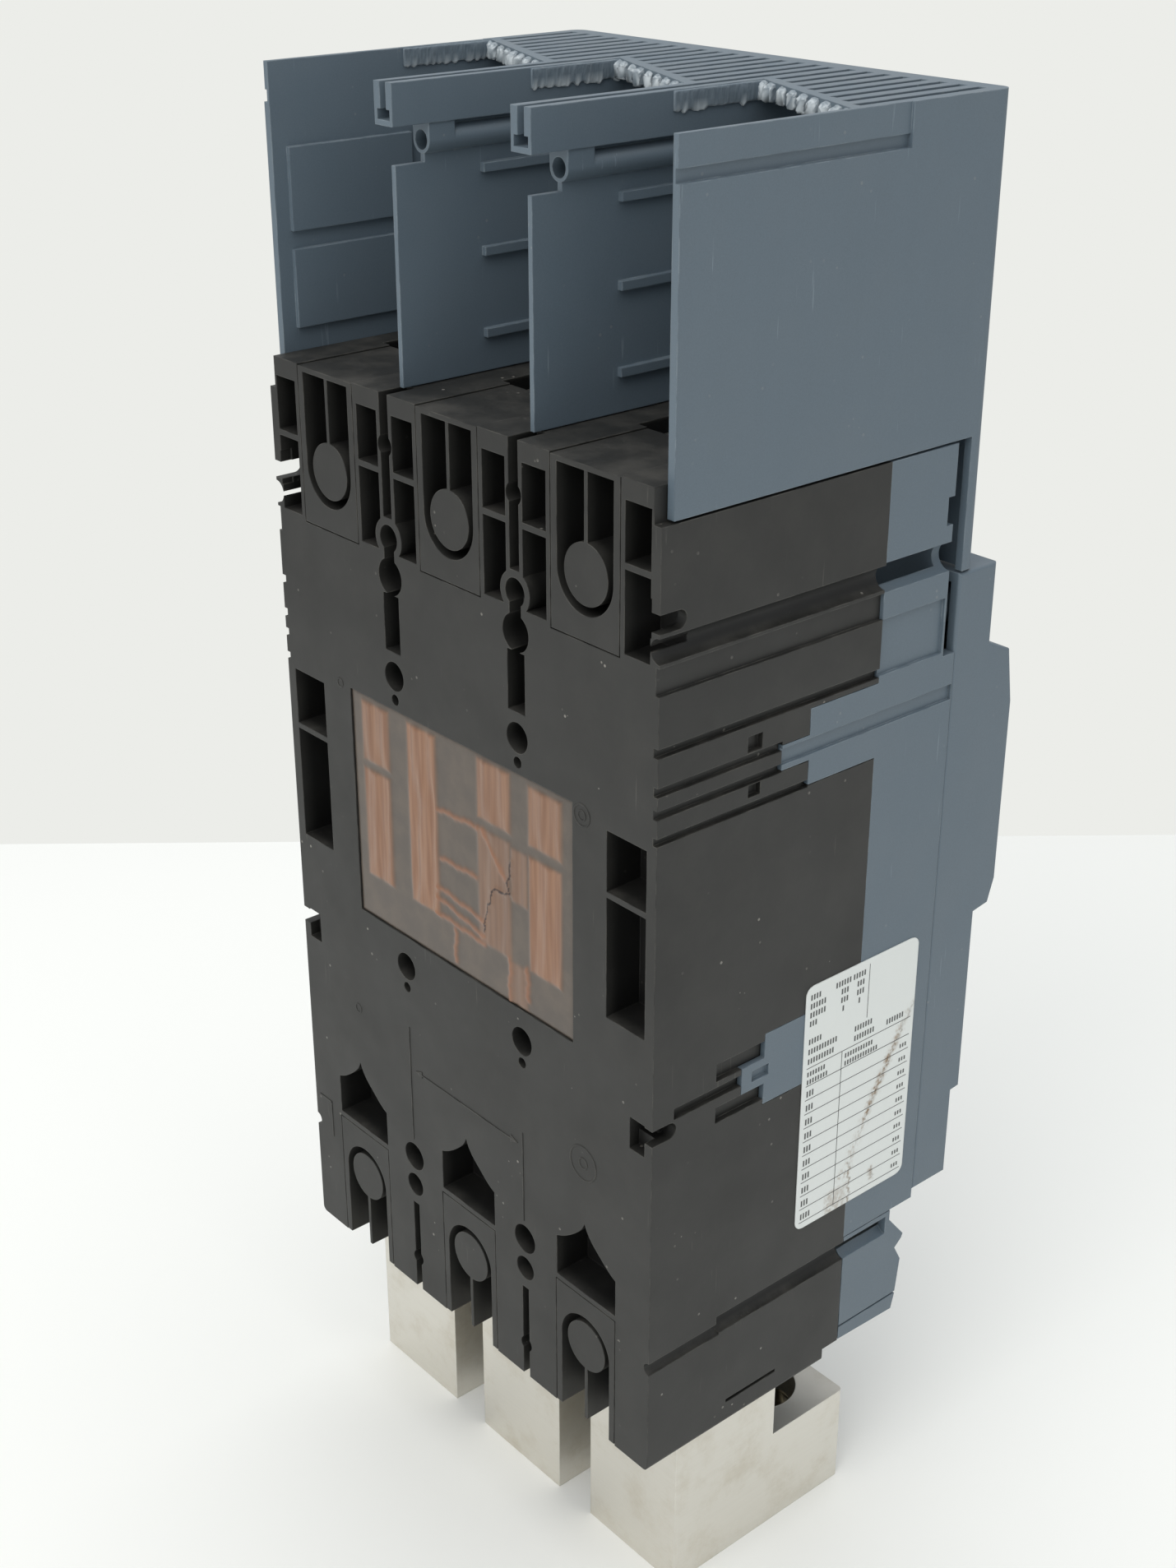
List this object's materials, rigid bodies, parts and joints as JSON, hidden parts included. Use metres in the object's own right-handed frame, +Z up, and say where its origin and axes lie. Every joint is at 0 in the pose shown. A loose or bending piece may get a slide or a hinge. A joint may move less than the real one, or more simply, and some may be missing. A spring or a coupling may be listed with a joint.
{
  "type": "circuit breaker",
  "caption": "Moulded-case circuit breaker with black base, blue-grey front and extended terminal cover, toggle handle, and aluminium wire lugs on the load side.",
  "frame": {"origin": "centre of the four panel-mounting holes, on the plane of the back", "axes": "+X right seen from the front, -Y out of the front, +Z up (line terminals on top)"},
  "size_m": [0.1383, 0.1359, 0.3668],
  "materials": {
    "black_thermoset": "black filled thermoset, fine moulded grain",
    "grey_plastic": "blue-grey moulded thermoplastic, satin",
    "film": "copper-brown insulating film, creased",
    "label": "white printed label, satin",
    "lug_metal": "tinned extruded aluminium, light scratches",
    "copper": "silver-plated copper bar",
    "contact_silver": "silver alloy contact pad",
    "steel": "zinc-plated steel",
    "rotor_plastic": "brown glass-filled insulating plastic",
    "fibre": "deionising plates in vulcanised-fibre cheeks",
    "toggle_plastic": "near-black handle plastic",
    "button_plastic": "red push-button plastic",
    "dial_plastic": "light dial plastic",
    "window": "clear polycarbonate flap",
    "board": "green circuit board",
    "transformer": "cast-resin current transformer"
  },
  "bodies": {
    "housing": {"base_housing": "black_thermoset", "front_cover": "grey_plastic", "front_lid": "grey_plastic", "terminal_cover": "grey_plastic", "lower_terminal_cover": "grey_plastic", "upper_insert_left": "black_thermoset", "upper_insert_centre": "black_thermoset", "upper_insert_right": "black_thermoset", "lower_insert_left": "black_thermoset", "lower_insert_centre": "black_thermoset", "lower_insert_right": "black_thermoset", "rear_insulating_film": "film", "rating_label": "label", "wire_lug_left": "lug_metal", "wire_lug_centre": "lug_metal", "wire_lug_right": "lug_metal", "line_terminal_left": "copper", "line_terminal_centre": "copper", "line_terminal_right": "copper", "load_terminal_left": "copper", "load_terminal_centre": "copper", "load_terminal_right": "copper", "fixed_contacts": "contact_silver", "arc_chute_upper_left": "fibre", "arc_chute_upper_centre": "fibre", "arc_chute_upper_right": "fibre", "arc_chute_lower_left": "fibre", "arc_chute_lower_centre": "fibre", "arc_chute_lower_right": "fibre", "mechanism_side_plates": "steel", "trip_unit_case": "toggle_plastic", "trip_unit_board": "board", "current_transformer_left": "transformer", "current_transformer_centre": "transformer", "current_transformer_right": "transformer", "terminal_screws": "steel", "terminal_nuts": "steel", "cover_screws": "steel", "lid_screws": "steel"},
    "toggle": {"toggle_handle": "toggle_plastic", "handle_yoke": "steel", "main_springs": "steel"},
    "contact_shaft": {"contact_rotor": "rotor_plastic", "moving_contact_left": "copper", "moving_contact_centre": "copper", "moving_contact_right": "copper"},
    "cradle": {"cradle": "steel"},
    "trip_shaft": {"trip_bar": "rotor_plastic"},
    "trip_button": {"trip_button": "button_plastic", "trip_button_spring": "steel"},
    "overload_dial": {"overload_dial": "dial_plastic"},
    "short_circuit_dial": {"short_circuit_dial": "dial_plastic"},
    "setting_window": {"setting_window": "window"},
    "lug_screw_left": {"lug_screw_left": "steel"},
    "lug_screw_centre": {"lug_screw_centre": "steel"},
    "lug_screw_right": {"lug_screw_right": "steel"}
  },
  "joints": [
    {"name": "toggle_pivot", "type": "hinge", "parent": "housing", "child": "toggle", "pos_m": [0, -0.064, 0.024], "axis": [-1, 0, 0], "range_deg": [0, 26]},
    {"name": "contact_shaft_pivot", "type": "hinge", "parent": "housing", "child": "contact_shaft", "pos_m": [0, -0.04, 0.034], "axis": [-1, 0, 0], "range_deg": [0, 28]},
    {"name": "cradle_pivot", "type": "hinge", "parent": "housing", "child": "cradle", "pos_m": [0, -0.082, 0.048], "axis": [1, 0, 0], "range_deg": [-10, 0]},
    {"name": "trip_button_slide", "type": "slide", "parent": "housing", "child": "trip_button", "axis": [0, 1, 0], "range_m": [0, 0.003], "stiffness_N_per_m": 400, "springref_m": -0.001},
    {"name": "trip_bar_pivot", "type": "hinge", "parent": "housing", "child": "trip_shaft", "pos_m": [0, -0.062, -0.004], "axis": [1, 0, 0], "range_deg": [0, 24]},
    {"name": "overload_dial_turn", "type": "hinge", "parent": "housing", "child": "overload_dial", "pos_m": [-0.024, -0.1051, -0.0437], "axis": [0, -1, 0], "range_deg": [-135, 135]},
    {"name": "short_circuit_dial_turn", "type": "hinge", "parent": "housing", "child": "short_circuit_dial", "pos_m": [-0.002, -0.1051, -0.0437], "axis": [0, -1, 0], "range_deg": [-135, 135]},
    {"name": "setting_window_hinge", "type": "hinge", "parent": "housing", "child": "setting_window", "pos_m": [-0.011, -0.1096, -0.0558], "axis": [1, 0, 0], "range_deg": [0, 95]},
    {"name": "lug_screw_left_travel", "type": "slide", "parent": "housing", "child": "lug_screw_left", "axis": [0, 1, 0], "range_m": [0, 0.017]},
    {"name": "lug_screw_centre_travel", "type": "slide", "parent": "housing", "child": "lug_screw_centre", "axis": [0, 1, 0], "range_m": [0, 0.017]},
    {"name": "lug_screw_right_travel", "type": "slide", "parent": "housing", "child": "lug_screw_right", "axis": [0, 1, 0], "range_m": [0, 0.017]}
  ],
  "couplings": [
    {"joint": "contact_shaft_pivot", "follows": "toggle_pivot", "ratio": 1.0769},
    {"joint": "trip_bar_pivot", "follows": "trip_button_slide", "rad_per_m": 139.63}
  ]
}
